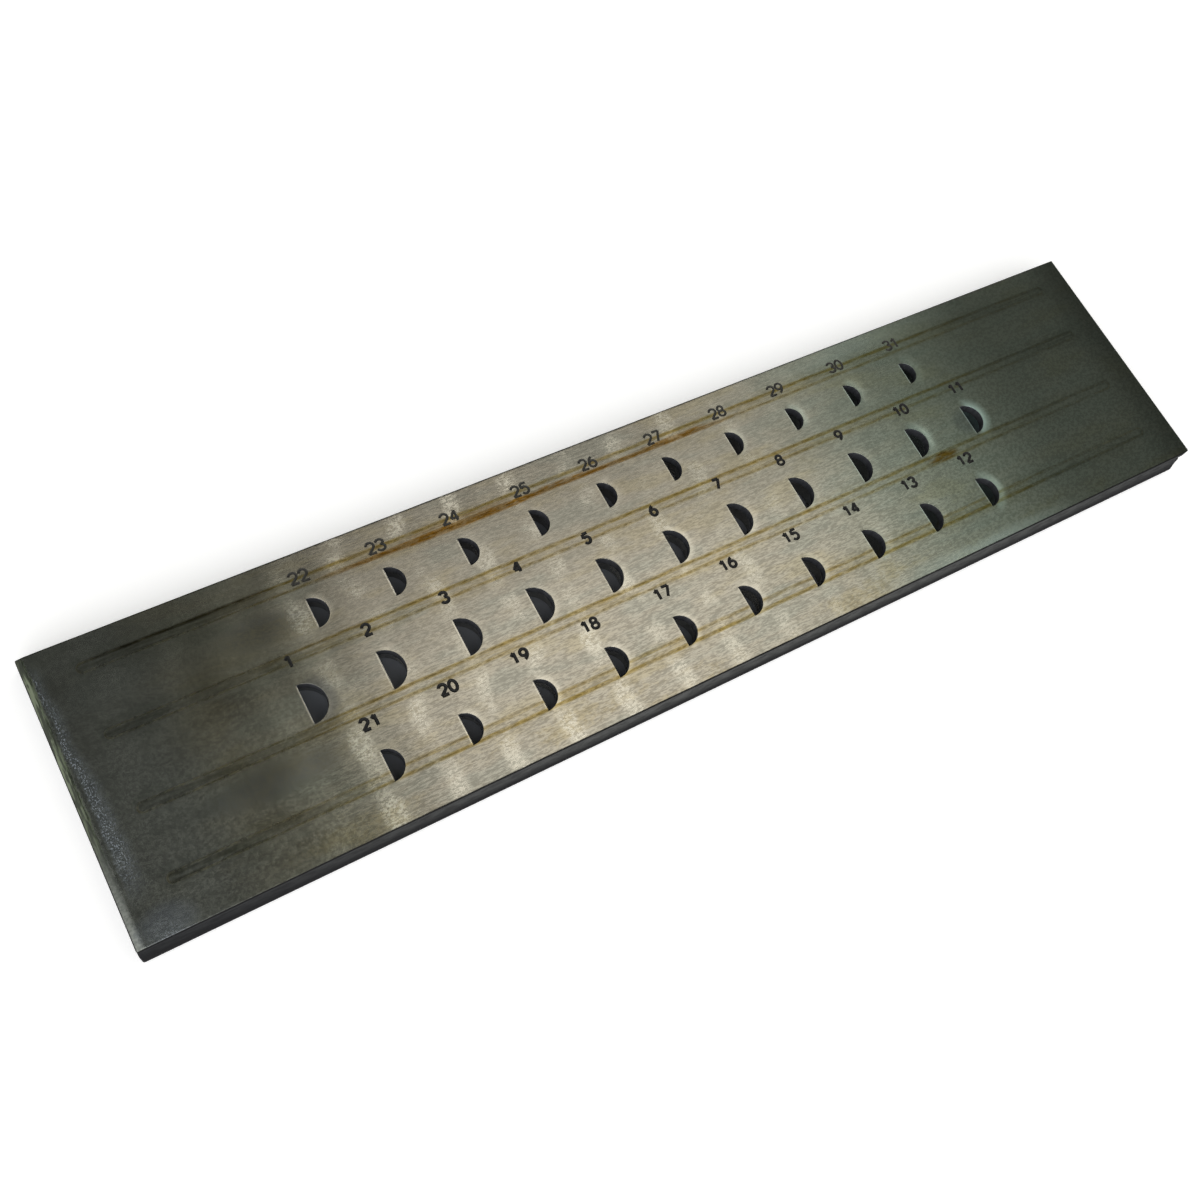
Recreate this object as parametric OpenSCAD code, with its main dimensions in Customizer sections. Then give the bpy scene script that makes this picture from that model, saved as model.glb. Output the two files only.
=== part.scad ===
// Half-round wire draw plate. A hard face plate lies on a softer backing plate, and four long
// round-ended tie strips pass through slots in the face into grooves in the backing.
// The origin is in the middle of the back face: X runs along the plate, Y across it, and Z out of
// the numbered face. Each hole has its flat side to -X and widens towards the back.

/* [Plates] */
// Overall length, from the left end to the lip of the right end
plate_length = 276; // [268:1:310]
// Width of the face plate
face_width = 63; // [58:0.5:80]
// Thickness of the hard face plate
face_thickness = 2.5; // [2:0.1:4]
// Thickness of the softer backing plate
backing_thickness = 5.5; // [4.5:0.1:9]
// Width of the face's rolled-down edge at the left end
roll_width = 1.6; // [0.8:0.1:4]
// How far the face drops at that edge
roll_drop = 0.4; // [0.1:0.1:1]
// How far the rolled flanks of the backing plate bulge past the face plate
flank_bulge = 1.2; // [0.4:0.1:2]
// Height of the widest part of the flanks above the back face
flank_height = 2.2; // [1:0.1:3]
// How far the face plate overhangs the backing plate at the right end
lip_overhang = 1.7; // [0.8:0.1:3]
// Depth of the hollow torn in the backing plate under that lip
undercut = 1.5; // [0.4:0.1:1.8]
// Height of the flats left over and under that hollow
undercut_land = 0.3; // [0.2:0.1:0.6]
// Radius of the face plate's upright corners
face_corner_radius = 0.4; // [0.2:0.1:2]
// How far the backing plate's upright corners are broken
corner_break = 0.7; // [0.3:0.1:2]

/* [Holes] */
// Width of the largest hole, number 1
largest_hole = 9; // [8:0.1:10]
// How much narrower each numbered hole is than the one before
width_drop = 0.1; // [0.05:0.01:0.15]
// Number of holes in the middle row
middle_count = 11; // [6:1:12]
// Number of holes in each of the two outer rows
outer_count = 10; // [6:1:11]
// Distance between the holes of a row
hole_pitch = 17.65; // [14:0.05:18.4]
// Distance from the left end to the flat side of the first hole in the middle row
first_hole = 47; // [30:0.1:52]
// How far the outer rows start past the middle row
row_stagger = 9.4; // [4:0.1:14]
// Distance from the face plate's back edge to the middle of the back row
back_row_inset = 14.3; // [13.5:0.1:16.5]
// Distance from the plate's centre line to the middle of the middle row
middle_row_y = -0.5; // [-1:0.1:2]
// Distance from the face plate's front edge to the middle of the front row
front_row_inset = 12.4; // [10.5:0.1:16]
// How much further each hole reaches at the back face than at the face plate
entry_flare = 1.2; // [0.4:0.1:2]

/* [Tie strips] */
// Width of a tie strip
strip_width = 2; // [1.2:0.1:2.2]
// Distance from the left end to the tie strips
strip_start = 10; // [6:0.5:20]
// Distance from the tie strips to the lip of the right end
strip_stop = 9; // [6:0.5:20]
// Distance from the face plate's back edge to the middle of the back tie strip
back_strip_inset = 6.8; // [4:0.1:8]
// Distance from the plate's centre line to the tie strip between the back and middle rows
back_inner_strip_y = 9.8; // [8:0.1:11]
// Distance from the plate's centre line to the tie strip between the middle and front rows
front_inner_strip_y = -6.5; // [-9:0.1:-6.5]
// Distance from the face plate's front edge to the middle of the front tie strip
front_strip_inset = 10; // [5:0.1:10.5]
// Depth of the grooves in the backing plate that the tie strips sit in
groove_depth = 1; // [0.5:0.1:2]
// Gap left for the braze at the sides of each tie strip
braze_gap = 0.05; // [0.02:0.01:0.1]

/* [Hidden] */

// How far cutters run past the faces that they cut
overcut = 1;
$fn = 96;

plate_thickness = face_thickness + backing_thickness;
left_end = -plate_length / 2;
right_end = plate_length / 2;
backing_length = plate_length - lip_overhang;
backing_width = face_width + 2 * flank_bulge;
middle_x = left_end + first_hole;
outer_x = middle_x + row_stagger;
back_row_y = face_width / 2 - back_row_inset;
front_row_y = front_row_inset - face_width / 2;
back_strip_y = face_width / 2 - back_strip_inset;
front_strip_y = front_strip_inset - face_width / 2;
strip_y = [back_strip_y, back_inner_strip_y, front_inner_strip_y, front_strip_y];

// Each flank is one arc from the face plate's lower edge, through its widest part, to the back face
flank_rise = backing_thickness - flank_height;
flank_radius = (pow(flank_rise, 2) + pow(flank_bulge, 2)) / (2 * flank_bulge);

function hole_width(number) = largest_hole - width_drop * (number - 1);

// Each hole as its flat side's place along X, its middle in Y and its width. The numbers run along
// the middle row, back along the front row and along the back row again.
holes = concat(
    [for (i = [0 : middle_count - 1])
        [middle_x + i * hole_pitch, middle_row_y, hole_width(1 + i)]],
    [for (i = [0 : outer_count - 1])
        [outer_x + i * hole_pitch, front_row_y, hole_width(middle_count + outer_count - i)]],
    [for (i = [0 : outer_count - 1])
        [outer_x + i * hole_pitch, back_row_y, hole_width(middle_count + outer_count + 1 + i)]]
);

// The holes that reach into a tie strip at this distance from the centre line
function holes_at(y) =
    [for (hole = holes)
        if (abs(hole[1] - y) < hole[2] / 2 + entry_flare + strip_width / 2) hole];

// A rectangle with round corners about the origin
module rounded_rectangle(length, width, radius) {
    square([length, width - 2 * radius], center = true);
    square([length - 2 * radius, width], center = true);
    for (x = [-1, 1], y = [-1, 1])
        translate([x * (length / 2 - radius), y * (width / 2 - radius)])
            circle(r = radius);
}

// A bar seen from above, with half-round ends
module round_ended_bar(from, to, width) {
    translate([from + width / 2, -width / 2])
        square([to - from - width, width]);
    for (x = [from + width / 2, to - width / 2])
        translate([x, 0])
            circle(d = width);
}

// The face plate's section, seen from its front: a slab with its left edge rolled down, which runs past
// the outline that trims it
module face_section() {
    roll_slope = roll_drop / roll_width;
    polygon([
        [left_end - overcut, backing_thickness],
        [right_end + overcut, backing_thickness],
        [right_end + overcut, plate_thickness],
        [left_end + roll_width, plate_thickness],
        [left_end - overcut, plate_thickness - roll_drop - roll_slope * overcut]
    ]);
}

// The backing plate's section, seen from its end: a flat slab between two rolled flanks
module flank_section() {
    middle = backing_width - 2 * flank_radius;
    intersection() {
        translate([-backing_width / 2 - overcut, 0])
            square([backing_width + 2 * overcut, backing_thickness]);
        union() {
            translate([-middle / 2, -overcut])
                square([middle, backing_thickness + 2 * overcut]);
            for (side = [-1, 1])
                translate([side * middle / 2, flank_height])
                    circle(r = flank_radius);
        }
    }
}

// The cutters that break the backing plate's upright corners
module corner_breaks() {
    for (x = [left_end, left_end + backing_length], side = [-1, 1])
        translate([x, side * backing_width / 2, backing_thickness / 2])
            rotate([0, 0, 45])
                cube([sqrt(2) * corner_break, sqrt(2) * corner_break, backing_thickness + 2 * overcut],
                     center = true);
}

// The hollow under the lip: one arc across the backing plate's right end
module undercut_hollow() {
    chord = backing_thickness - 2 * undercut_land;
    radius = pow(chord, 2) / (8 * undercut) + undercut / 2;
    translate([left_end + backing_length - undercut + radius, 0, backing_thickness / 2])
        rotate([90, 0, 0])
            cylinder(r = radius, h = backing_width + 2 * overcut, center = true);
}

// A hole's parallel land, through the face plate
module die_land(hole) {
    radius = hole[2] / 2;
    height = face_thickness + overcut;
    translate([hole[0], hole[1], backing_thickness])
        intersection() {
            cylinder(r = radius, h = height);
            translate([0, -radius - overcut, 0])
                cube([radius + overcut, 2 * (radius + overcut), height]);
        }
}

// A hole's flared entry, from the land to the back face: its round side and its flat side both open out
module die_entry(hole) {
    radius = hole[2] / 2;
    height = backing_thickness + overcut;
    foot_radius = radius + entry_flare * height / backing_thickness;
    flat_lean = atan(entry_flare / 2 / backing_thickness);
    translate([hole[0], hole[1], backing_thickness])
        intersection() {
            translate([0, 0, -height])
                cylinder(r1 = foot_radius, r2 = radius, h = height);
            rotate([0, flat_lean, 0])
                translate([0, -2 * foot_radius, -2 * height])
                    cube([3 * foot_radius, 4 * foot_radius, 3 * height]);
        }
}

// The space that a tie strip fills, widened at the sides and ends by a gap
module strip_bar(y, gap, top) {
    bottom = backing_thickness - groove_depth;
    translate([0, y, bottom])
        linear_extrude(top - bottom)
            round_ended_bar(left_end + strip_start - gap, right_end - strip_stop + gap,
                            strip_width + 2 * gap);
}

module face_plate() {
    color([0.66, 0.63, 0.55])
        difference() {
            intersection() {
                rotate([90, 0, 0])
                    linear_extrude(face_width + 2 * overcut, center = true)
                        face_section();
                linear_extrude(plate_thickness + overcut)
                    rounded_rectangle(plate_length, face_width, face_corner_radius);
            }
            for (hole = holes)
                die_land(hole);
            for (y = strip_y)
                strip_bar(y, braze_gap, plate_thickness + overcut);
        }
}

module backing_plate() {
    color([0.27, 0.28, 0.29])
        difference() {
            translate([left_end, 0, 0])
                rotate([90, 0, 90])
                    linear_extrude(backing_length)
                        flank_section();
            corner_breaks();
            undercut_hollow();
            for (hole = holes)
                die_entry(hole);
            for (y = strip_y)
                strip_bar(y, braze_gap, backing_thickness + overcut);
        }
}

module tie_strip(y) {
    color([0.6, 0.56, 0.45])
        difference() {
            strip_bar(y, 0, plate_thickness);
            for (hole = holes_at(y)) {
                die_land(hole);
                die_entry(hole);
            }
        }
}

module back_tie_strip() { tie_strip(back_strip_y); }
module back_inner_tie_strip() { tie_strip(back_inner_strip_y); }
module front_inner_tie_strip() { tie_strip(front_inner_strip_y); }
module front_tie_strip() { tie_strip(front_strip_y); }

face_plate();
backing_plate();
back_tie_strip();
back_inner_tie_strip();
front_inner_tie_strip();
front_tie_strip();
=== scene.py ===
"""Half-round wire draw plate: a ground, numbered face on a dark rolled backing, tied by brazed strips."""
import math
import random
from collections import namedtuple

import bmesh
import bpy
from mathutils import Matrix, Vector, noise


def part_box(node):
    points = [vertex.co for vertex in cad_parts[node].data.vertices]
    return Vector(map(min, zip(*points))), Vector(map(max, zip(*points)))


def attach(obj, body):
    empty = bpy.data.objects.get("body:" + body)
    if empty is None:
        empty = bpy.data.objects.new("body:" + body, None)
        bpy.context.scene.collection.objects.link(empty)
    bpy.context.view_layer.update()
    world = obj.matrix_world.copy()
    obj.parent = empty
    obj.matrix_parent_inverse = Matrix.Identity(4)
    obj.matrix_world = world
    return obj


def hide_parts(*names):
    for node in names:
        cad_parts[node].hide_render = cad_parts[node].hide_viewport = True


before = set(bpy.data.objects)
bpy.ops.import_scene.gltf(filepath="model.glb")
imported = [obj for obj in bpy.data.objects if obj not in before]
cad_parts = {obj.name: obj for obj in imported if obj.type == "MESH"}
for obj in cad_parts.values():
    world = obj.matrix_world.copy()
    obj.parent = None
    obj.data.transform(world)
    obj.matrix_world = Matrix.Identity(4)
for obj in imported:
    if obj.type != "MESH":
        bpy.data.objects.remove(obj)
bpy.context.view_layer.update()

# Every size below is in millimetres, and a finished mesh is brought to metres
MM = 0.001


def node_box(node):
    """The lowest and the highest corner of a CAD node."""
    low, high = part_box(node)
    return low / MM, high / MM


# Sizes that the frame gives
FACE_LOW, FACE_HIGH = node_box("face_plate")
BACKING_LOW, BACKING_HIGH = node_box("backing_plate")
TOP = FACE_HIGH.z
JOINT = FACE_LOW.z
STRIPS = ("back_tie_strip", "back_inner_tie_strip", "front_inner_tie_strip", "front_tie_strip")
STRIP_BOXES = {node: node_box(node) for node in STRIPS}
STRIP_LOW, STRIP_HIGH = STRIP_BOXES["back_tie_strip"]
STRIP_HALF_WIDTH = (STRIP_HIGH.y - STRIP_LOW.y) / 2
STRIP_Y = {node: (low.y + high.y) / 2 for node, (low, high) in STRIP_BOXES.items()}
GROOVE_FLOOR = STRIP_LOW.z

# Vertices this near are one, and a vertex this near to a plane lies on it
SAME_PLACE = 1e-4
ON_PLANE = 1e-3

# How far a cutter runs past the faces that it cuts
OVERCUT = 1

# The plates' flanks and upright corners, and the backing's torn right end as steps back from it at heights
FLANK_HEIGHT = 2.2
FLANK_STEPS = 14
BACKING_BREAK = 0.3
BREAK_SEGMENTS = 3
SHARP_TURN = 1.0
TORN_END = (
    (0.0, 5.2), (0.7, 4.9), (1.3, 4.45), (1.65, 3.8), (1.6, 3.0), (1.3, 2.0), (1.05, 1.0), (0.95, -1.0),
)
FACE_CORNER = 0.4
LIP_CORNER = 0.6
LEFT_CORNER = 1.0
RIGHT_CORNER = 0.3
CORNER_SEGMENTS = 8

# The holes: three staggered rows of half discs, each with its flat side to -X
HOLE_PITCH = 17.65
MIDDLE_ROW_FLAT = FACE_LOW.x + 47
OUTER_ROW_FLAT = MIDDLE_ROW_FLAT + 9.4
MIDDLE_ROW_Y = -0.5
FRONT_ROW_Y = -19.1
BACK_ROW_Y = 17.2
MIDDLE_COUNT = 11
OUTER_COUNT = 10
FRONT_FIRST = MIDDLE_COUNT + OUTER_COUNT
BACK_FIRST = FRONT_FIRST + 1
LARGEST_HOLE = 9
HOLE_STEP = 0.1
HOLE_SEGMENTS = 64
ENTRY_FLARE = 1.2
ENTRY_BREAK = 0.3

# The rounded rim of a hole: its reach on the round and on the flat side, and its rings' turns in degrees
ROUND_RIM = 0.08
FLAT_RIM = 0.22
RIM_TURNS = (72, 63, 54, 45, 34, 20, 0)
WALL_TURN = 20
RIM_MARGIN = 0.4

# The funnel that clears the face above a rim
FUNNEL_RISE = 0.6
FUNNEL_SPREAD = 1.9

# The ground face lies a little under the frame's top
GRIND_DROP = 0.1
GROUND = TOP - GRIND_DROP
GRID_STEP = 0.5
EDGE_ROUNDING = 0.25
EDGE_SEGMENTS = 7
ROLL_WIDTH = 1.6
ROLL_DROP = 0.3
SAG_WIDTH = 5.0
SAG_DROP = 0.1
WAVE_DEPTH = 0.05
WAVE_LENGTH = 13.8
FIRST_WAVE = -84.4
WAVES_STOP = 85
WAVES_FADE = 60
SWAY_LENGTH = 40
SWAY_WIDTH = 15
SWAY_TURN = 0.4
SWAY_SHARE = 0.4

# The braze seams: a narrow gap that opens into a groove at the face, beside a strip with broken edges
BRAZE_GAP = 0.05
SEAM_DEPTH = 0.2
STRIP_BREAK = 0.6
STRIP_SEGMENTS = 50

# Edges that turn by more than this many degrees stay sharp
SHARP_ANGLE = 15

# The stamped figures
FIGURE_HEIGHT = 3.22
FIGURE_WIDTH = 2.55
FIGURE_SPACING = 2.28
HEAVY_STROKE = 0.77
HEAVY_NUMBERS = (3, 4, 5, 6, 7, 19, 20, 21)
FIGURE_ROWS = {MIDDLE_ROW_Y: 9.3, FRONT_ROW_Y: -9.35, BACK_ROW_Y: 25.95}
ROW_STROKES = {MIDDLE_ROW_Y: 0.7, FRONT_ROW_Y: 0.72, BACK_ROW_Y: 0.6}
FIGURE_SHIFT = 0.65
STAMPED_ASIDE = {2: 0.25, 10: 2.15, 11: 2.3, 18: -0.4, 19: -0.15, 28: 1.2, 30: 1.2, 31: 1.35}
STAMPED_LOW = {8: 0.5, 9: 0.5, 10: 0.6, 11: 0.7}

# Use has dished the face a little at every hole, and more at those to the right
DISHED_FROM = 10
SHALLOW_DISH = 0.02
DEEP_DISH = 0.07
DISH_SHARES = (0.4, 1.0)
DISH_REACHES = (0.9, 1.5)
DISH_SPAN = 2.4

Hole = namedtuple("Hole", "number flat_x middle_y radius dish reach")
dents = random.Random(31)


def hole_radius(number):
    return (LARGEST_HOLE - HOLE_STEP * (number - 1)) / 2


def drill(number, flat_x, middle_y):
    """A numbered hole with a dish of its own round it."""
    deepest = SHALLOW_DISH if flat_x < DISHED_FROM else DEEP_DISH
    dish = dents.uniform(*DISH_SHARES) * deepest
    reach = dents.uniform(*DISH_REACHES)
    return Hole(number, flat_x, middle_y, hole_radius(number), dish, reach)


holes = [drill(1 + i, MIDDLE_ROW_FLAT + HOLE_PITCH * i, MIDDLE_ROW_Y) for i in range(MIDDLE_COUNT)]
for place in range(OUTER_COUNT):
    flat = OUTER_ROW_FLAT + HOLE_PITCH * place
    holes.append(drill(FRONT_FIRST - place, flat, FRONT_ROW_Y))
    holes.append(drill(BACK_FIRST + place, flat, BACK_ROW_Y))


class Value:
    """A socket of a node tree, on which arithmetic adds Math nodes."""

    def __init__(self, nodes, socket):
        self.nodes = nodes
        self.socket = socket

    def math(self, operation, *values):
        return self.nodes.node("ShaderNodeMath", {"operation": operation}, dict(enumerate(values)))

    def __add__(self, other):
        return self.math("ADD", self, other)

    def __sub__(self, other):
        return self.math("SUBTRACT", self, other)

    def __rsub__(self, other):
        return self.math("SUBTRACT", other, self)

    def __mul__(self, other):
        return self.math("MULTIPLY", self, other)

    def __abs__(self):
        return self.math("ABSOLUTE", self)

    __radd__ = __add__
    __rmul__ = __mul__

    def higher(self, other):
        return self.math("MAXIMUM", self, other)

    def lower(self, other):
        return self.math("MINIMUM", self, other)

    def root(self):
        return self.math("SQRT", self)

    def whole(self):
        return self.math("FLOOR", self)

    def cosine(self):
        return self.math("COSINE", self)


class Nodes:
    """A node tree whose nodes are made from a kind, its settings and its sockets."""

    def __init__(self, tree):
        self.tree = tree

    def node(self, kind, settings=None, inputs=None, output=0):
        node = self.tree.nodes.new(kind)
        for name, setting in (settings or {}).items():
            setattr(node, name, setting)
        for key, value in (inputs or {}).items():
            self.feed(node.inputs[key], value)
        return Value(self, node.outputs[output])

    def feed(self, socket, value):
        if isinstance(value, Value):
            self.tree.links.new(value.socket, socket)
        else:
            socket.default_value = value

    def ramp(self, value, low, high):
        inputs = {"Value": value, "From Min": low, "From Max": high}
        return self.node("ShaderNodeMapRange", {"interpolation_type": "SMOOTHSTEP"}, inputs)

    def mix(self, factor, first, second, blend="MIX"):
        inputs = {0: factor}
        for key, colour in ((6, first), (7, second)):
            inputs[key] = colour if isinstance(colour, Value) else (*colour, 1.0)
        return self.node("ShaderNodeMix", {"data_type": "RGBA", "blend_type": blend}, inputs, 2)


SOCKETS = {"specular_ior_level": "Specular IOR Level"}


class Finish(Nodes):
    """A material that is painted on Object coordinates, in millimetres."""

    def __init__(self, name):
        self.material = bpy.data.materials.new(name)
        self.material.use_nodes = True
        super().__init__(self.material.node_tree)
        self.shader = self.tree.nodes["Principled BSDF"]
        self.place = self.node("ShaderNodeTexCoord", output="Object")
        self.x, self.y, self.z = (self.along(axis) for axis in "XYZ")

    def along(self, axis):
        return self.node("ShaderNodeSeparateXYZ", {}, {0: self.place}, axis) * (1 / MM)

    def noise(self, per_mm, detail=2.0, rough=0.5, shift=0.0):
        scale = tuple(count / MM for count in per_mm)
        where = self.node("ShaderNodeMapping", {}, {0: self.place, 1: (shift, shift, shift), 3: scale})
        inputs = {"Vector": where, "Scale": 1.0, "Detail": detail, "Roughness": rough}
        return self.node("ShaderNodeTexNoise", {}, inputs)

    def patch(self, middle_x, middle_y, reach_x, reach_y):
        """1 in the middle of a soft oval patch and 0 outside it."""
        along = (self.x - middle_x) * (1 / reach_x)
        across = (self.y - middle_y) * (1 / reach_y)
        return self.ramp(along * along + across * across, 1.0, 0.1)

    def patches(self, places):
        """1 in the middle of any of several patches."""
        first, *others = [self.patch(*place) for place in places]
        for other in others:
            first = first.higher(other)
        return first

    def stretch(self, low, high, fade):
        """1 between two places along X and 0 outside them."""
        return self.ramp(self.x, low - fade, low + fade) * self.ramp(self.x, high + fade, high - fade)

    def bump(self, height, strength, depth):
        inputs = {"Strength": strength, "Distance": depth * MM, "Height": height}
        return self.node("ShaderNodeBump", {}, inputs)

    def surface(self, **sockets):
        for name, value in sockets.items():
            self.feed(self.shader.inputs[SOCKETS.get(name, name.replace("_", " ").title())], value)
        return self.material


# Colours, as the bare surface reflects them, tints that stains lay over them, and painted highlights and
# shades
STEEL_PALE = (0.45, 0.42, 0.355)
STEEL_DEEP = (0.285, 0.265, 0.222)
PAINTED_HIGHLIGHT = (0.98, 0.93, 0.8)
PAINTED_TEAL_HIGHLIGHT = (0.72, 0.95, 0.9)
OLIVE_DULL_AND_SHADE = (0.2, 0.205, 0.165)
COOL_TINT = (0.94, 0.98, 1.0)
WARM_TINT = (1.0, 0.97, 0.88)
GREEN_TINT = (0.82, 0.96, 0.95)
GOLD_TINT = (0.66, 0.54, 0.23)
RUST_TINT = (0.62, 0.37, 0.08)
OIL_TINT = (0.34, 0.32, 0.26)
OLD_SEAM_TINT = (0.36, 0.35, 0.28)
GRIME_TINT = (0.45, 0.45, 0.43)
BLUE_GREY_TINT = (0.5, 0.53, 0.62)
DARK_EDGE_AND_SHADE = (0.04, 0.038, 0.034)
LEFT_DEEP = (0.28, 0.3, 0.285)
LEFT_PALE = (0.465, 0.493, 0.46)
LEFT_TINT = (0.94, 1.0, 0.97)
BLUE_HIGHLIGHT = (0.6, 0.68, 0.84)
FLECK = (0.6, 0.68, 0.78)
BACK_SHADE_TINT = (0.8, 0.8, 0.8)
TEAL_GLEAM = (0.55, 0.66, 0.64)
ROLLED_GREEN = (0.24, 0.28, 0.19)
ROLLED_DARK = (0.035, 0.039, 0.031)
SCALE_DARK = (0.012, 0.012, 0.013)
FLANK_LEFT = (0.028, 0.029, 0.031)
FLANK_LIT = (0.102, 0.104, 0.102)
FLANK_FOOT_SHADE = (0.015, 0.015, 0.016)
TORN_DARK = (0.02, 0.02, 0.021)
TORN_GREY = (0.085, 0.086, 0.088)
SKIN_DARK = (0.03, 0.03, 0.033)
SKIN_GREY = (0.075, 0.074, 0.074)
DIE_DARK = (0.05, 0.053, 0.06)
DIE_GREY = (0.14, 0.147, 0.165)
INK = (0.012, 0.012, 0.012)
INK_CRUMB = (0.05, 0.045, 0.035)
INK_WORN = (0.06, 0.058, 0.05)

# Depths of the grain of the grind and of the rolled skin
GRAIN_DEPTH = 0.012
SKIN_DEPTH = 0.05

# Where the dull left part and the dim right part of the face begin, and where they are full, along X
DULL_LEFT = (-70.0, -100.0)
DIM_RIGHT = (40.0, 100.0)

# Soft patches on the face: their middles and their reaches, along X and Y
LEATHERY = ((-105.0, 4.8, 12.0, 3.6), (-108.0, -26.5, 14.0, 3.0))
BLUE_SHADES = ((-93.0, 17.8, 11.0, 4.5), (-102.0, -12.5, 18.0, 4.5))
FIRST_HOLE_SHADE = (-88.0, MIDDLE_ROW_Y, 4.4, 6.5)
LAST_HOLE_SHADE = (84.0, MIDDLE_ROW_Y, 3.5, 4.5)
# Painted highlights beside the first holes, on the first wave
FIRST_HIGHLIGHT_BANDS = (
    (FIRST_WAVE, BACK_ROW_Y, 3.0, 5.0),
    (FIRST_WAVE, FRONT_ROW_Y + 6, 3.0, 6.0),
    (FIRST_WAVE, FACE_LOW.y + 3, 3.2, 6.0),
)
RUST_SPILL = (73.0, STRIP_Y["front_inner_tie_strip"], 6.0, 1.6)
CORNER_HIGHLIGHT = (FACE_LOW.x + 6.0, FACE_LOW.y - 1.0, 5.0, 6.0)
CORNER_SHEEN = (FACE_LOW.x + 7.0, FACE_LOW.y + 2.5, 7.0, 5.0)

Texture = namedtuple("Texture", "grain hair grit cloud mottle")


def track_distance(finish, y):
    """How far a place is from the seam of the tie strip at y, less than 0 on the strip."""
    middle = (STRIP_LOW.x + STRIP_HIGH.x) / 2
    half_run = (STRIP_HIGH.x - STRIP_LOW.x) / 2 - STRIP_HALF_WIDTH
    past_end = (abs(finish.x - middle) - half_run).higher(0.0)
    across = finish.y - y
    return (past_end * past_end + across * across).root() - STRIP_HALF_WIDTH


def dull_ends(finish):
    """0 in the worn middle of the face, 1 at its dull ends."""
    cloud = finish.noise((0.05, 0.08, 0.08), 3.0)
    wander = finish.x + (cloud - 0.5) * 30
    return finish.ramp(wander, -78.0, -106.0).higher(finish.ramp(wander, 66.0, 112.0))


def scuff_bands(finish):
    """Painted highlight bands across the face on the waves of the grinding, strongest at the front edge.
    """
    sway = finish.noise((0.02, 0.07, 0.07), 2.0, shift=5.0)
    along = finish.x + (sway - 0.5) * 9 - FIRST_WAVE
    crest = finish.ramp((along * (2 * math.pi / WAVE_LENGTH)).cosine(), 0.1, 1.0)
    patches = finish.ramp(finish.noise((0.07, 0.12, 0.12), 2.0, shift=3.0), 0.4, 0.66)
    front = finish.ramp(finish.y, -21.5, -27.0) * 0.85
    fade = finish.ramp(finish.x, -100.0, -70.0) * finish.ramp(finish.x, 70.0, -50.0)
    first = finish.patches(FIRST_HIGHLIGHT_BANDS) * 0.8
    speck = finish.ramp(finish.noise((1.2, 2.2, 2.2), 3.0, 0.7), 0.45, 0.58)
    return (crest * crest * patches.higher(front) * fade).higher(first) * (speck * 0.85 + 0.15)


def rust_and_oil(finish, colour, y, off, upper, ragged):
    """Rust along the lower seam of the back strip, broader in places, and oil on its upper left part."""
    crust = finish.ramp(finish.noise((0.35, 1.6, 1.6), 3.0, 0.7, shift=3.0), 0.42, 0.6)
    smear = finish.stretch(-60.0, -27.0, 8.0)
    lower = finish.ramp(finish.y - y - smear * 0.5, 0.3, -0.5)
    line = finish.ramp(abs(off) - smear * 0.35, 0.8, 0.2) * finish.stretch(-72.0, 24.0, 10.0)
    line = line * (crust * 0.4 + 0.6)
    spots = finish.stretch(-24.0, -12.0, 3.0).higher(finish.stretch(3.0, 20.0, 3.0))
    rust = lower * line.higher(finish.ramp(off, 0.6, 0.0) * spots * (crust * 0.5 + 0.5))
    colour = finish.mix(rust, colour, RUST_TINT, "MULTIPLY")
    oil = finish.ramp(abs(off), 0.7, 0.1) * upper * finish.stretch(-124.0, -90.0, 6.0)
    return finish.mix(oil * (ragged * 0.4 + 0.6), colour, OIL_TINT, "MULTIPLY")


def seam_stains(finish, colour, dull):
    """Golden stains along the seams and on the strips, with rust and oil on the back one."""
    ragged = finish.ramp(finish.noise((0.3, 1.6, 1.6), 3.0, 0.6, shift=7.0), 0.3, 0.62)
    drift = finish.ramp(finish.noise((0.035, 0.3, 0.3), 2.0, shift=2.0), 0.36, 0.62)
    streak = finish.ramp(finish.noise((0.1, 2.4, 2.4), 3.0, 0.6, shift=8.0), 0.36, 0.62)
    tint = finish.mix(dull, GOLD_TINT, OLD_SEAM_TINT)
    left = finish.ramp(finish.x, *DULL_LEFT)
    for node, y in STRIP_Y.items():
        off = track_distance(finish, y)
        upper = finish.ramp(finish.y - y, -0.4, 0.4)
        darker = 1.0 - upper if node == "front_tie_strip" else upper
        weight = ragged * 0.4 + darker * (1.0 - left) * 0.25 + left * 0.08 + drift * 0.15 + 0.22
        faint = 1.0 - finish.ramp(finish.x, 84.0, 112.0) * 0.35
        line = finish.ramp(abs(off) + left * 0.22, 0.75, 0.22) * weight * faint
        stain = finish.ramp(off, 0.8, -0.2) * (drift * streak * 0.4 + left * streak * 0.3 + 0.1)
        halo = finish.ramp(off, 3.0, 0.2) * drift * ragged * 0.25
        colour = finish.mix(line.higher(stain).higher(halo), colour, tint, "MULTIPLY")
        if node == "back_tie_strip":
            colour = rust_and_oil(finish, colour, y, off, upper, ragged)
        if node == "front_inner_tie_strip":
            spill = finish.patch(*RUST_SPILL) * ragged
            colour = finish.mix(spill, colour, RUST_TINT, "MULTIPLY")
    return colour


def rolled_edge(finish):
    """Greenish lines along the rolled edge at the left end, which fade towards the front."""
    line = finish.ramp(finish.noise((2.0, 0.16, 0.16), 3.0, 0.7, shift=1.0), 0.44, 0.57)
    shine = finish.ramp(finish.y, -26.0, 8.0) * finish.ramp(finish.y, 34.0, 26.0) * (line * 0.85 + 0.15)
    return finish.mix(shine, ROLLED_DARK, ROLLED_GREEN)


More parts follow.
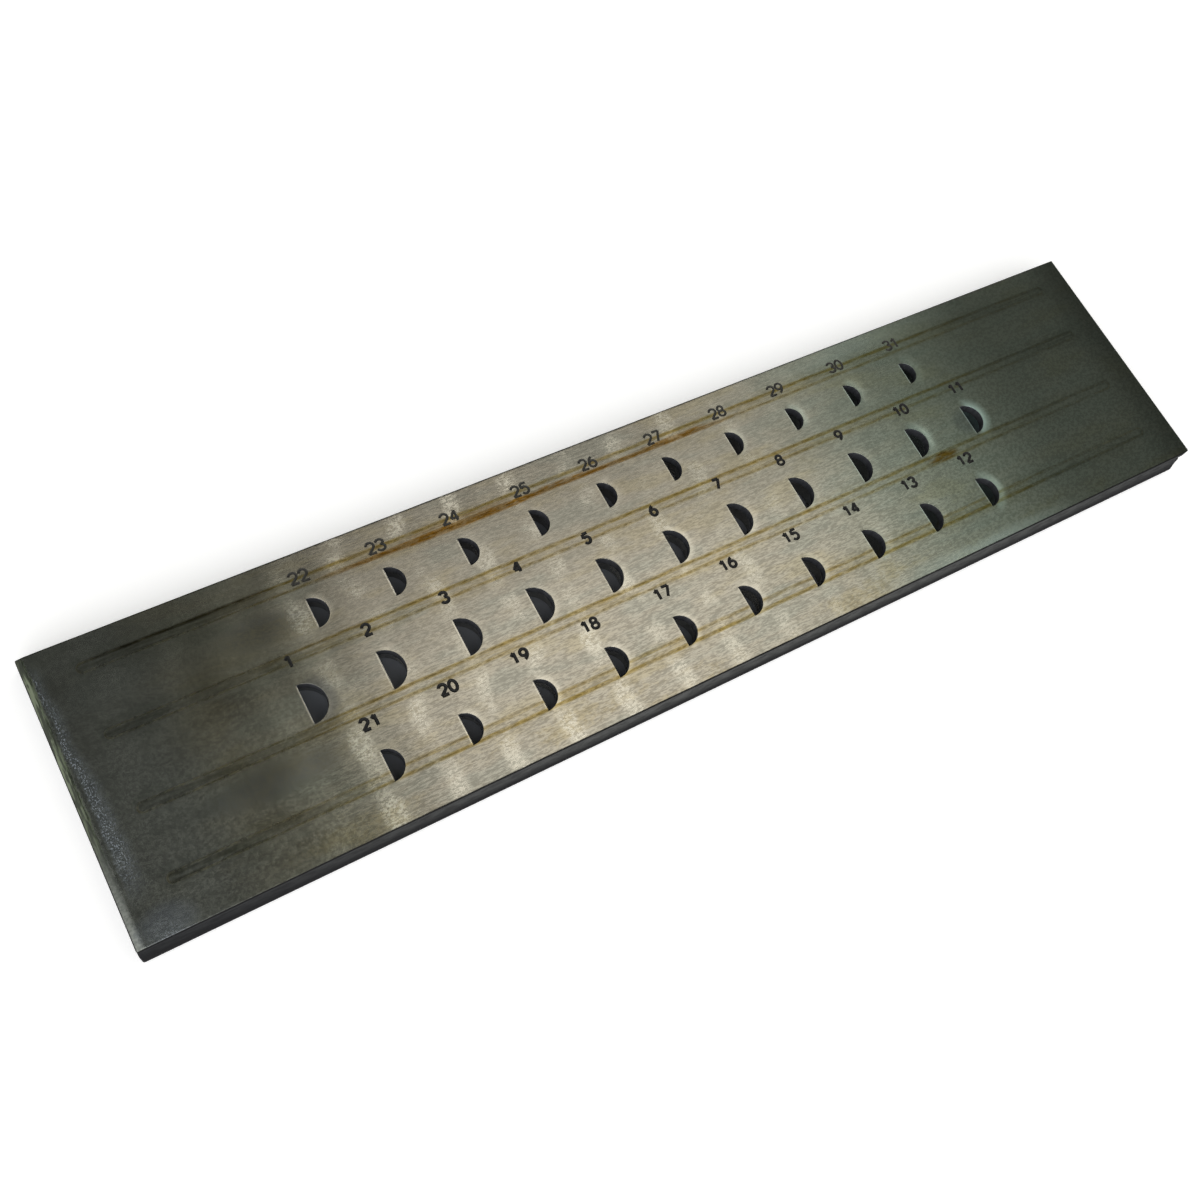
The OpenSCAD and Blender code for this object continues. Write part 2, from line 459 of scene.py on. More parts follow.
# Each row of holes: its first flat side, its middle, its count, and its first hole's number and the next
HOLE_ROWS = (
    (MIDDLE_ROW_FLAT, MIDDLE_ROW_Y, MIDDLE_COUNT, 1, 2),
    (OUTER_ROW_FLAT, FRONT_ROW_Y, OUTER_COUNT, FRONT_FIRST, FRONT_FIRST - 1),
    (OUTER_ROW_FLAT, BACK_ROW_Y, OUTER_COUNT, BACK_FIRST, BACK_FIRST + 1),
)
ROW_MARGIN = 4


def hole_marks(finish):
    """Masks of painted highlights at the holes: halos beside their round sides and thin bright lines along
    their flat sides.
    """
    halo = glint = None
    for flat_x, middle_y, count, number, following in HOLE_ROWS:
        place = finish.x - flat_x + ROW_MARGIN
        passed = (place * (1 / HOLE_PITCH)).whole()
        along = place - passed * HOLE_PITCH - ROW_MARGIN
        across = abs(finish.y - middle_y)
        radius = passed * (hole_radius(following) - hole_radius(number)) + hole_radius(number)
        off = (along * along + across * across).root() - radius
        row_end = count * HOLE_PITCH
        row = finish.ramp(place, 0.0, 0.01) * finish.ramp(place, row_end, row_end - 0.01)
        wider = 1.0 - finish.ramp(finish.x, 30.0, 80.0) * 0.4
        beside_round = finish.ramp(off * wider, 1.7, 0.0) * finish.ramp(along, 0.0, 2.0) * row
        beside_flat = finish.ramp(along, -0.5, -0.2) * finish.ramp(across - radius, 0.1, -0.6) * row
        beside_flat = beside_flat * finish.ramp(along, 0.3, 0.1)
        halo = halo.higher(beside_round) if halo else beside_round
        glint = glint.higher(beside_flat) if glint else beside_flat
    return halo, glint


def hole_gleams(finish, colour):
    """Painted highlights at the holes, as halos and bright lines, faint but at the last holes of the two
    front rows.
    """
    halo, glint = hole_marks(finish)
    uneven = finish.ramp(finish.noise((0.05, 0.06, 0.06), 1.0, shift=5.0), 0.36, 0.64) * 0.75
    last_holes = finish.ramp(finish.x, 66.0, 90.0) * finish.ramp(finish.y, 12.0, 6.0)
    fading = 1.0 - finish.ramp(finish.x, 40.0, 76.0) * finish.ramp(finish.y, 9.0, 13.0) * 0.7
    halo = halo * fading * uneven.higher(last_holes * 0.85)
    flat_side = glint * (finish.ramp(finish.x, -20.0, -60.0) * 0.35 + 0.2)
    pale = finish.mix(finish.ramp(finish.x, 10.0, 70.0), PAINTED_HIGHLIGHT, PAINTED_TEAL_HIGHLIGHT)
    strong = halo * halo * last_holes * 0.75
    return finish.mix((halo * 0.4).higher(strong).higher(flat_side), colour, pale)


def face_texture(finish):
    """The patterns of the ground face, drawn out along the grind."""
    return Texture(
        grain=finish.noise((0.22, 1.9, 1.9), 4.0, 0.65),
        hair=finish.noise((0.9, 4.0, 4.0), 1.0),
        grit=finish.noise((1.3, 1.6, 1.6), 3.0, 0.7, shift=2.0),
        cloud=finish.noise((0.05, 0.16, 0.16), 3.0, 0.55, shift=6.0),
        mottle=finish.ramp(finish.noise((0.8, 1.1, 1.1), 3.0, 0.6, shift=1.0), 0.4, 0.6),
    )


def ground_colour(finish, texture, paleness, band_highlight):
    """The bare ground steel, with painted highlight bands, painted shade on its back part and spots at its
    front edge.
    """
    colour = finish.mix(paleness, STEEL_DEEP, STEEL_PALE)
    colour = finish.mix(finish.ramp(texture.cloud, 0.5, 0.36), colour, COOL_TINT, "MULTIPLY")
    colour = finish.mix(finish.ramp(texture.cloud, 0.5, 0.66), colour, WARM_TINT, "MULTIPLY")
    # Painted highlight bands, a bright colour laid where the waves of the grind would catch the light
    colour = finish.mix(band_highlight, colour, PAINTED_HIGHLIGHT)
    # Painted shade that dims the back part of the face
    back_shade = finish.ramp(finish.y, -6.0, 8.0) * finish.ramp(finish.y, 30.0, 22.0)
    colour = finish.mix(back_shade * 0.75, colour, BACK_SHADE_TINT, "MULTIPLY")
    spots = finish.ramp(finish.y, -22.0, -26.0) * finish.ramp(texture.cloud, 0.44, 0.6) * texture.mottle
    return finish.mix(spots * 0.22, colour, GOLD_TINT, "MULTIPLY")


def grimy_ends(finish, colour, tone, paleness, leather):
    """The dull, grimy ends of the face, greener and, by painted shade, dimmer to the right, with bluish
    painted shades.
    """
    left = finish.ramp(finish.x, *DULL_LEFT)
    right = finish.ramp(finish.x, *DIM_RIGHT)
    # Dull olive at the ends, partly patina and partly painted shade, most at the right
    colour = finish.mix(right * 0.5 + left * 0.15, colour, OLIVE_DULL_AND_SHADE)
    colour = finish.mix(left, colour, LEFT_TINT, "MULTIPLY")
    left_grey = finish.mix(paleness, LEFT_DEEP, LEFT_PALE)
    colour = finish.mix(finish.ramp(finish.x, -106.0, -124.0) * 0.8, colour, left_grey)
    smudge = finish.ramp(finish.noise((0.09, 0.16, 0.16), 4.0, 0.6, shift=4.0), 0.4, 0.65)
    colour = finish.mix(left * (smudge * 0.25 + leather * 0.35), colour, GRIME_TINT, "MULTIPLY")
    colour = finish.mix(finish.ramp(finish.x, 25.0, 80.0), colour, GREEN_TINT, "MULTIPLY")
    shade = (finish.patches(BLUE_SHADES) * tone).higher(finish.patch(*FIRST_HOLE_SHADE))
    shade = shade.higher(finish.patch(*LAST_HOLE_SHADE) * 0.6)
    colour = finish.mix(shade * 0.8, colour, BLUE_GREY_TINT, "MULTIPLY")
    # Painted shade that dims the right part of the face, and more its right end
    colour = finish.mix(finish.ramp(finish.x, 76.0, 106.0) * 0.42, colour, DARK_EDGE_AND_SHADE, "MULTIPLY")
    return finish.mix(finish.ramp(finish.x, 124.0, 139.0) * 0.5, colour, DARK_EDGE_AND_SHADE, "MULTIPLY")


def left_wear(finish, texture):
    """Where the face beside its rolled left edge and at the front corner is worn and carries a painted
    highlight.
    """
    along = finish.x - FACE_LOW.x + (texture.grit - 0.5) * 1.2 + (texture.cloud - 0.5) * 2
    along = along - finish.ramp(finish.y, 26.0, 0.0) * 0.7
    spread = along - finish.ramp(finish.y, 24.0, -18.0) * 2.0
    whole_edge = finish.ramp(finish.y, 30.5, 24.0) * finish.ramp(finish.y, -26.0, -12.0)
    band = finish.ramp(along, 1.4, 2.2) * finish.ramp(spread, 4.6, 1.6) * whole_edge
    corner = finish.patch(*CORNER_HIGHLIGHT) * finish.ramp(texture.cloud + texture.grit, 0.8, 1.15)
    return band.higher(corner)


def worn_face(finish):
    """Sockets of the ground face, with its painted highlights and shades, grime and stains."""
    texture = face_texture(finish)
    dull = dull_ends(finish)
    right = finish.ramp(finish.x, *DIM_RIGHT)
    ends = dull.higher(right)
    brushed = 1.0 - ends * 0.9
    lay = texture.grain * 0.4 + texture.hair * 0.38 + texture.grit * 0.12 + texture.cloud * 0.1
    tone = finish.ramp(lay * brushed + texture.grit * ends * 0.9, 0.4, 0.6)
    contrast = (finish.ramp(finish.y, 28.0, -28.0) * 0.6 + 0.75) * (1.0 - ends * 0.35 + right * 0.5)
    paleness = (tone - 0.5) * contrast + 0.5
    band_highlight = scuff_bands(finish)
    leather = finish.patches(LEATHERY) * texture.mottle
    colour = ground_colour(finish, texture, paleness, band_highlight)
    colour = grimy_ends(finish, colour, tone, paleness, leather)
    colour = hole_gleams(finish, colour)
    colour = seam_stains(finish, colour, dull)
    # Painted highlight as a bluish haze beside the rolled left edge and at the front corner, with flecks
    # that are partly bare metal and partly painted glints
    wear_and_highlight = left_wear(finish, texture)
    colour = finish.mix((wear_and_highlight * 0.22).higher(finish.patch(*CORNER_SHEEN) * 0.3), colour, BLUE_HIGHLIGHT)
    fleck = finish.ramp(finish.noise((3.2, 2.4, 2.4), 2.0, 0.75, shift=9.0), 0.49, 0.64)
    bare_and_glint = wear_and_highlight * fleck * 0.62
    colour = finish.mix(bare_and_glint, colour, FLECK)
    # A painted teal highlight along the front and back edges
    gleam = finish.ramp(finish.y, -28.0, -30.8) * 0.5 + finish.ramp(finish.y, 25.0, 30.0) * 0.25
    colour = finish.mix(gleam * finish.stretch(58.0, 84.0, 22.0), colour, TEAL_GLEAM)
    # The rolled left edge and the dark lines along all the edges
    from_left = finish.x - FACE_LOW.x
    rolled = finish.ramp(finish.y, -27.0, -5.0) * 0.8 + 0.2
    ragged = from_left + (texture.mottle - 0.5) * 0.3
    strip = finish.ramp(ragged, ROLL_WIDTH + 0.3, ROLL_WIDTH - 0.3) * rolled
    scaly = finish.ramp(from_left, ROLL_WIDTH - 0.3, ROLL_WIDTH - 0.7) * rolled
    colour = finish.mix(strip, colour, rolled_edge(finish))
    rim = (FACE_HIGH.y - abs(finish.y)).lower(FACE_HIGH.x - finish.x).lower(from_left)
    colour = finish.mix(finish.ramp(rim, 0.27, 0.1) * 0.95, colour, DARK_EDGE_AND_SHADE, "MULTIPLY")
    dullness = dull * 0.04 + right * 0.08 + strip * 0.2
    relief = (texture.grain * 0.6 + texture.hair * 0.4) * brushed + leather * 0.3
    return {
        "base_color": colour,
        "metallic": 1.0 - scaly * 0.75 - bare_and_glint * 0.5,
        "roughness": 0.22 + (texture.grain - 0.5) * brushed * 0.15 + band_highlight * 0.2 + dullness,
        "normal": finish.bump(relief, 1.0, GRAIN_DEPTH),
    }


def ground_steel():
    finish = Finish("ground_steel")
    return finish.surface(**worn_face(finish))


def braze():
    finish = Finish("braze")
    sockets = worn_face(finish)
    pitted = finish.ramp(finish.noise((0.8, 0.8, 0.8), 3.0, shift=4.0), 0.35, 0.65)
    sockets["base_color"] = finish.mix(pitted * 0.35, sockets["base_color"], GOLD_TINT, "MULTIPLY")
    sockets["roughness"] = sockets["roughness"] + pitted * 0.1
    return finish.surface(**sockets)


def worn_flank(finish):
    """The scale on the plate's edges, with painted light that makes it paler away from the left end."""
    flake = finish.ramp(finish.noise((0.25, 0.5, 1.2), 4.0, 0.65), 0.36, 0.66)
    middle = finish.ramp(finish.x, -150.0, -20.0) * finish.ramp(finish.x, 240.0, 40.0)
    lit = finish.mix(middle, FLANK_LEFT, FLANK_LIT)
    return finish.mix(flake * 0.45, lit, SCALE_DARK)


def edge_scale():
    finish = Finish("edge_scale")
    # The wall turns darker towards its top edge
    colour = finish.mix(finish.ramp(finish.z, 6.6, 7.3), worn_flank(finish), SCALE_DARK)
    rough = finish.noise((0.6, 0.6, 1.4), 2.0)
    return finish.surface(base_color=colour, roughness=0.6 + rough * 0.3, specular_ior_level=0.02)


def die_wall():
    finish = Finish("die_wall")
    streak = finish.noise((1.2, 1.2, 0.1), 2.0)
    colour = finish.mix(streak, DIE_DARK, DIE_GREY)
    return finish.surface(base_color=colour, metallic=0.7, roughness=0.45 + streak * 0.2)


def figure_ink():
    finish = Finish("figure_ink")
    crumb = finish.noise((2.5, 2.5, 2.5), 2.0)
    colour = finish.mix(finish.ramp(crumb, 0.5, 0.8), INK, INK_CRUMB)
    colour = finish.mix(finish.ramp(finish.y, 20.0, 24.0) * 0.6, colour, INK_WORN)
    return finish.surface(base_color=colour, metallic=0.0, roughness=0.6 + crumb * 0.3)


def rolled_steel():
    finish = Finish("rolled_steel")
    scale = finish.noise((0.3, 0.5, 0.9), 4.0, 0.6)
    grain = finish.noise((0.15, 3.5, 3.5), 3.0)
    # Painted shade that darkens the flank towards its foot
    colour = finish.mix(finish.ramp(finish.z, 5.7, 3.0), worn_flank(finish), FLANK_FOOT_SHADE)
    fibre = finish.ramp(finish.noise((1.5, 0.5, 1.6), 4.0, 0.7, shift=3.0), 0.35, 0.65)
    torn = finish.ramp(finish.x, BACKING_HIGH.x - 2.0, BACKING_HIGH.x - 1.6)
    colour = finish.mix(torn * 0.8, colour, finish.mix(fibre, TORN_DARK, TORN_GREY))
    under = finish.ramp(finish.z, 0.6, 0.2)
    skin = finish.mix(finish.ramp(scale, 0.35, 0.7), SKIN_DARK, SKIN_GREY)
    colour = finish.mix(under, colour, skin)
    relief = scale * 0.7 + grain * 0.3 + torn * fibre * 3
    return finish.surface(
        base_color=colour,
        metallic=under * 0.5,
        roughness=0.5 + scale * 0.2,
        normal=finish.bump(relief, 0.4, SKIN_DEPTH),
        specular_ior_level=0.01,
    )


# The places of the materials in every piece
SURFACE_FACES, WALL_FACES, INK_FACES, EDGE_FACES = range(4)


def outside_hole(hole, x, y):
    """Distance from a place on the face to the outline of a hole."""
    along = x - hole.flat_x
    across = abs(y - hole.middle_y)
    if along < 0:
        return math.hypot(along, max(across - hole.radius, 0))
    return max(math.hypot(along, across) - hole.radius, 0)


def ground_height(x, y):
    """Height of the ground face: a little wavy, dished at the holes and rolled over at the left end."""
    sway = noise.noise((x / SWAY_LENGTH, y / SWAY_WIDTH, 0))
    phase = 2 * math.pi * ((x - FIRST_WAVE) / WAVE_LENGTH + SWAY_TURN * sway)
    wave = (0.5 + 0.5 * math.sin(phase)) * (1 - SWAY_SHARE + SWAY_SHARE * sway)
    worn_waves = min(max((WAVES_STOP - x) / WAVES_FADE, 0), 1)
    height = GROUND - WAVE_DEPTH * worn_waves * wave
    for hole in holes:
        reach = DISH_SPAN * hole.reach
        near_x = -reach < x - hole.flat_x < hole.radius + reach
        if near_x and abs(y - hole.middle_y) < hole.radius + reach:
            off = outside_hole(hole, x, y)
            round_side = min(max((x - hole.flat_x) / hole.radius, 0), 1)
            height -= hole.dish * round_side * math.exp(-((off / hole.reach) ** 2))
    from_left = x - FACE_LOW.x
    sag = max(1 - from_left / SAG_WIDTH, 0)
    roll = max(1 - from_left / ROLL_WIDTH, 0)
    return height - SAG_DROP * sag**2 - ROLL_DROP * roll


def ground_slab(low_x, high_x, low_y, high_y, bottom):
    """A slab with the ground face on top, dark upright walls and a flat underside."""
    bm = bmesh.new()
    length = high_x - low_x
    width = high_y - low_y
    columns = round(length / GRID_STEP)
    rows = max(round(width / GRID_STEP), 3)
    bmesh.ops.create_grid(bm, x_segments=columns, y_segments=rows, size=0.5)
    bmesh.ops.scale(bm, vec=(length, width, 1), verts=bm.verts)
    bmesh.ops.translate(bm, vec=((low_x + high_x) / 2, (low_y + high_y) / 2, 0), verts=bm.verts)
    edge = [e for e in bm.edges if e.is_boundary]
    walls = bmesh.ops.extrude_edge_only(bm, edges=edge)["geom"]
    foot = {v for v in walls if isinstance(v, bmesh.types.BMVert)}
    for vert in bm.verts:
        vert.co.z = bottom if vert in foot else ground_height(vert.co.x, vert.co.y)
    bmesh.ops.holes_fill(bm, edges=[e for e in bm.edges if e.is_boundary], sides=0)
    bmesh.ops.recalc_face_normals(bm, faces=bm.faces)
    for side in bm.faces:
        side.material_index = SURFACE_FACES if side.normal.z > 0.5 else EDGE_FACES
    return bm, edge


def sort_parts(bm):
    """Sort a mesh's parts by place, because some operators leave them in another order at each run."""
    for index, vert in enumerate(sorted(bm.verts, key=lambda vert: vert.co[:])):
        vert.index = index
    bm.verts.sort()
    for parts in (bm.edges, bm.faces):
        ordered = sorted(parts, key=lambda part: sorted(vert.index for vert in part.verts))
        for index, part in enumerate(ordered):
            part.index = index
        parts.sort()


def to_mesh(bm, materials, index=None):
    """A mesh with the materials, and with one of them on all its faces where an index is given."""
    mesh = bpy.data.meshes.new("blank")
    for material in materials:
        mesh.materials.append(material)
    if index is not None:
        for face in bm.faces:
            face.material_index = index
    sort_parts(bm)
    bm.to_mesh(mesh)
    bm.free()
    return mesh


def carve(mesh, tool, operation="DIFFERENCE"):
    """The mesh after a boolean with the tool."""
    blank = bpy.data.objects.new("blank", mesh)
    cutter = bpy.data.objects.new("cutter", tool)
    for thing in (blank, cutter):
        bpy.context.scene.collection.objects.link(thing)
    boolean = blank.modifiers.new("carve", "BOOLEAN")
    boolean.operation = operation
    boolean.solver = "MANIFOLD"
    boolean.object = cutter
    depsgraph = bpy.context.evaluated_depsgraph_get()
    carved = bpy.data.meshes.new_from_object(blank.evaluated_get(depsgraph))
    for thing in (blank, cutter):
        bpy.data.objects.remove(thing)
    return carved


def finish_piece(name, mesh, slot, *nodes):
    """A finished piece in metres, that rides on the plate and stands for its CAD nodes."""
    mesh.name = name
    mesh.transform(Matrix.Scale(MM, 4))
    mesh.shade_smooth()
    mesh.set_sharp_from_angle(angle=math.radians(SHARP_ANGLE))
    piece = bpy.data.objects.new(name, mesh)
    bpy.context.scene.collection.objects.link(piece)
    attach(piece, "root")
    if nodes:
        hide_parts(*nodes)
    return piece


def die_cutters():
    """One solid for every hole: a rounded rim, a straight land and a flared entry with a broken edge."""
    bm = bmesh.new()
    for hole in holes:
        rim_places = [(-RIM_MARGIN, 0), (hole.radius + RIM_MARGIN, 0), (0, hole.radius), (0, -hole.radius)]
        heights = [ground_height(hole.flat_x + x, hole.middle_y + y) for x, y in rim_places]
        rim = sum(heights) / len(heights)
        rings = [(rim + FUNNEL_RISE, ROUND_RIM + FUNNEL_SPREAD, FLAT_RIM + FUNNEL_SPREAD, SURFACE_FACES)]
        for degrees in RIM_TURNS:
            turn = math.radians(degrees)
            sink = FLAT_RIM * (1 - math.sin(turn))
            index = SURFACE_FACES if degrees > WALL_TURN else WALL_FACES
            opening = 1 - math.cos(turn)
            rings.append((rim - sink, ROUND_RIM * opening, FLAT_RIM * opening, index))
        rings.append((JOINT, 0, 0, WALL_FACES))
        round_flare = ENTRY_FLARE * (JOINT - ENTRY_BREAK) / JOINT
        flat_flare = round_flare / 2
        rings.append((ENTRY_BREAK, round_flare, flat_flare, WALL_FACES))
        rings.append((ENTRY_BREAK - OVERCUT, round_flare + OVERCUT, flat_flare + OVERCUT, SURFACE_FACES))
        sink_die(bm, hole, rings)
    bmesh.ops.recalc_face_normals(bm, faces=bm.faces)
    return bm


def sink_die(bm, hole, rings):
    """Extrude a half disc down through rings of height, growth of the round side and of the flat side."""
    axis = Vector((hole.flat_x, hole.middle_y, 0))
    disc = bmesh.ops.create_circle(
        bm, cap_ends=True, radius=hole.radius, segments=HOLE_SEGMENTS, matrix=Matrix.Translation(axis)
    )["verts"]
    face = disc[0].link_faces[0]
    half = bmesh.ops.bisect_plane(
        bm, geom=disc + list(face.edges) + [face], plane_co=axis, plane_no=(1, 0, 0), clear_inner=True,
        dist=SAME_PLACE,
    )["geom"]
    face = next(part for part in half if isinstance(part, bmesh.types.BMFace))
    reach = hole.radius
    for ring, (height, round_growth, flat_growth, index) in enumerate(rings):
        if ring:
            walls = set(face.edges)
            face = extruded(bm, face)
            for wall in {f for e in walls for f in e.link_faces}:
                wall.material_index = index
        stretch = (hole.radius + round_growth) / reach
        reach = hole.radius + round_growth
        bmesh.ops.scale(bm, vec=(stretch, stretch, 1), space=Matrix.Translation(-axis), verts=face.verts)
        for vert in face.verts:
            vert.co.z = height
            if vert.co.x < hole.flat_x + ON_PLANE:
                vert.co.x = hole.flat_x - flat_growth


def extruded(bm, face):
    """The new end face after a face is extruded in place."""
    added = bmesh.ops.extrude_face_region(bm, geom=[face])["geom"]
    end = next(part for part in added if isinstance(part, bmesh.types.BMFace))
    if face.is_valid and len(bm.faces) > 3 and all(len(e.link_faces) > 2 for e in face.edges):
        bm.faces.remove(face)
    return end


def round_bar(rings, low_x, high_x, y):
    """A round-ended bar along X, as a stack of rings of height and half width."""
    bm = bmesh.new()
    run = (high_x - low_x) / 2 - STRIP_HALF_WIDTH
    middle = (low_x + high_x) / 2
    reach = STRIP_HALF_WIDTH
    disc = bmesh.ops.create_circle(bm, cap_ends=True, radius=reach, segments=STRIP_SEGMENTS)["verts"]
    for vert in disc:
        side = (vert.co.x > SAME_PLACE) - (vert.co.x < -SAME_PLACE)
        vert.co += Vector((middle + side * run, y, 0))
    face = disc[0].link_faces[0]
    for ring, (height, half_width) in enumerate(rings):
        if ring:
            face = extruded(bm, face)
        for vert in face.verts:
            hub = Vector((min(max(vert.co.x, middle - run), middle + run), y, height))
            out = Vector((vert.co.x - hub.x, vert.co.y - y, 0))
            vert.co = hub + out * (half_width / reach)
        reach = half_width
    bmesh.ops.recalc_face_normals(bm, faces=bm.faces)
    return bm


def slot_bar(y, gap):
    """The space of a slot in the face, with its groove for the braze, down to the backing's groove."""
    half = STRIP_HALF_WIDTH + gap
    widest = half + OVERCUT + SEAM_DEPTH + GRIND_DROP
    rings = [(GROOVE_FLOOR, half), (GROUND - SEAM_DEPTH, half), (TOP + OVERCUT, widest)]
    return round_bar(rings, STRIP_LOW.x, STRIP_HIGH.x, y)


def strip_bar(y):
    """A tie strip, with its upper edges broken for the braze."""
    half = STRIP_HALF_WIDTH
    shoulder = GROUND - SEAM_DEPTH
    rings = [(GROOVE_FLOOR, half), (shoulder, half), (shoulder + STRIP_BREAK, half - STRIP_BREAK)]
    return round_bar(rings, STRIP_LOW.x, STRIP_HIGH.x, y)


ARC_STEPS = 14
OVAL_STEPS = 24


def arc(middle, radii, start, stop, steps=ARC_STEPS):
    """Points along a part of an oval, from one angle to another."""
    turns = [math.radians(start + (stop - start) * i / steps) for i in range(steps + 1)]
    return [(middle[0] + radii[0] * math.cos(t), middle[1] + radii[1] * math.sin(t)) for t in turns]


def oval(middle, radii):
    return arc(middle, radii, 90, 450, OVAL_STEPS)


# The ten figures, as strokes in a box that is one unit wide and one high
FIGURES = {
    "0": [oval((0.5, 0.5), (0.45, 0.5))],
    "1": [[(0.18, 0.72), (0.6, 1.0)], [(0.6, 1.0), (0.6, 0.0)]],
    "2": [arc((0.5, 0.7), (0.44, 0.3), 170, -38) + [(0.06, 0.0)], [(0.06, 0.0), (0.96, 0.0)]],
    "3": [arc((0.48, 0.76), (0.42, 0.24), 168, -90), arc((0.48, 0.27), (0.46, 0.27), 80, -168)],
    "4": [[(0.72, 0.0), (0.72, 1.0)], [(0.72, 1.0), (0.04, 0.3)], [(0.04, 0.3), (0.98, 0.3)]],
    "5": [
        [(0.88, 1.0), (0.2, 1.0)],
        [(0.2, 1.0), (0.12, 0.54)],
        arc((0.48, 0.33), (0.44, 0.33), 140, -150),
    ],
    "6": [oval((0.5, 0.31), (0.43, 0.31)), arc((0.9, 0.3), (0.83, 0.7), 180, 108)],
    "7": [[(0.06, 1.0), (0.94, 1.0)], [(0.94, 1.0), (0.36, 0.0)]],
    "8": [oval((0.5, 0.76), (0.36, 0.24)), oval((0.5, 0.27), (0.43, 0.27))],
    "9": [oval((0.5, 0.69), (0.43, 0.31)), arc((0.1, 0.7), (0.83, 0.7), 0, -72)],
}
STROKES_IN_A_FIGURE = 3


def stroke_mesh(points, width):
    """A round stroke through the points, in the plane of the face."""
    curve = bpy.data.curves.new("stroke", "CURVE")
    curve.dimensions = "3D"
    curve.bevel_depth = width / 2
    curve.bevel_resolution = 2
    curve.use_fill_caps = True
    closed = (Vector(points[0]) - Vector(points[-1])).length < SAME_PLACE
    kept = points[:-1] if closed else points
    spline = curve.splines.new("POLY")
    spline.points.add(len(kept) - 1)
    spline.use_cyclic_u = closed
    reach_x = FIGURE_WIDTH - width
    reach_y = FIGURE_HEIGHT - width
    for point, (x, y) in zip(spline.points, kept):
        point.co = ((x - 0.5) * reach_x, (y - 0.5) * reach_y, 0, 1)
    holder = bpy.data.objects.new("stroke", curve)
    bpy.context.scene.collection.objects.link(holder)
    mesh = bpy.data.meshes.new_from_object(holder.evaluated_get(bpy.context.evaluated_depsgraph_get()))
    bpy.data.objects.remove(holder)
    return mesh


def figure_cutters():
    """The punch strokes of all the numbers, in layers within which no two strokes touch."""
    layers = [bmesh.new() for _ in range(STROKES_IN_A_FIGURE)]
    for hole in holes:
        text = str(hole.number)
        width = HEAVY_STROKE if hole.number in HEAVY_NUMBERS else ROW_STROKES[hole.middle_y]
        middle_x = hole.flat_x + STAMPED_ASIDE.get(hole.number, FIGURE_SHIFT)
        middle_y = FIGURE_ROWS[hole.middle_y] - STAMPED_LOW.get(hole.number, 0)
        for place, digit in enumerate(text):
            x = middle_x + (place - (len(text) - 1) / 2) * FIGURE_SPACING
            spot = Matrix.Translation((x, middle_y, ground_height(x, middle_y)))
            for layer, points in zip(layers, FIGURES[digit]):
                punched = stroke_mesh(points, width)
                punched.transform(spot)
                layer.from_mesh(punched)
    for layer in layers:
        bmesh.ops.remove_doubles(layer, verts=layer.verts, dist=SAME_PLACE)
        bmesh.ops.recalc_face_normals(layer, faces=layer.faces)
    return layers


def corner_frame(low, high, left_radius, right_radius, materials, index):
    """A rounded block round a node's box, that rounds the upright corners of what it is cut with."""
    bm = bmesh.new()
    size = Matrix.Diagonal((high.x - low.x, high.y - low.y, 4 * TOP, 1))
    middle = Matrix.Translation((low + high) / 2)
    bmesh.ops.create_cube(bm, size=1, matrix=middle @ size)
    upright = [e for e in bm.edges if abs(e.verts[0].co.z - e.verts[1].co.z) > TOP]
    for radius, at_left in ((left_radius, True), (right_radius, False)):
        corners = [e for e in upright if e.is_valid and (e.verts[0].co.x < 0) == at_left]
        bmesh.ops.bevel(
            bm, geom=corners, offset=radius, segments=CORNER_SEGMENTS, profile=0.5, affect="EDGES",
            material=-1,
        )
    return to_mesh(bm, materials, index)


def numbered_face(materials, tools):
    """The hard face plate: ground, dished, slotted, drilled and stamped."""
    bm, edge = ground_slab(FACE_LOW.x, FACE_HIGH.x, FACE_LOW.y, FACE_HIGH.y, JOINT)
    bmesh.ops.bevel(
        bm, geom=edge, offset=EDGE_ROUNDING, segments=EDGE_SEGMENTS, profile=0.5, affect="EDGES",
        material=-1,
    )
    mesh = to_mesh(bm, materials)
    corners = corner_frame(FACE_LOW, FACE_HIGH, FACE_CORNER, LIP_CORNER, materials, EDGE_FACES)
    mesh = carve(mesh, corners, "INTERSECT")
    for slot in tools["slots"].values():
        mesh = carve(mesh, slot)
    for tool in [tools["dies"], *tools["figures"]]:
        mesh = carve(mesh, tool)
    return finish_piece("numbered_face", mesh, "hard_face_steel", "face_plate")


def tie_bars(materials, seam_materials, tools):
    """The four tie strips and the braze that fills the seam round each of them."""
    for node, y in STRIP_Y.items():
        margin = 3 * STRIP_HALF_WIDTH
        low_x = STRIP_LOW.x - margin
        high_x = STRIP_HIGH.x + margin
        slab, _ = ground_slab(low_x, high_x, y - margin, y + margin, GROOVE_FLOOR - OVERCUT)
        blank = to_mesh(slab, materials)
        seam_blank = blank.copy()
        for place, material in enumerate(seam_materials):
            seam_blank.materials[place] = material
        strip = to_mesh(strip_bar(y), materials, SURFACE_FACES)
        bar = carve(blank, strip, "INTERSECT")
        seam = carve(carve(seam_blank, tools["slots"][node], "INTERSECT"), strip)
        for tool in [tools["dies"], *tools["figures"]]:
            bar = carve(bar, tool)
            seam = carve(seam, tool)
        finish_piece(node + "_bar", bar, "brazed_strip_steel", node)
        finish_piece(node + "_braze", seam, "brazed_strip_steel")


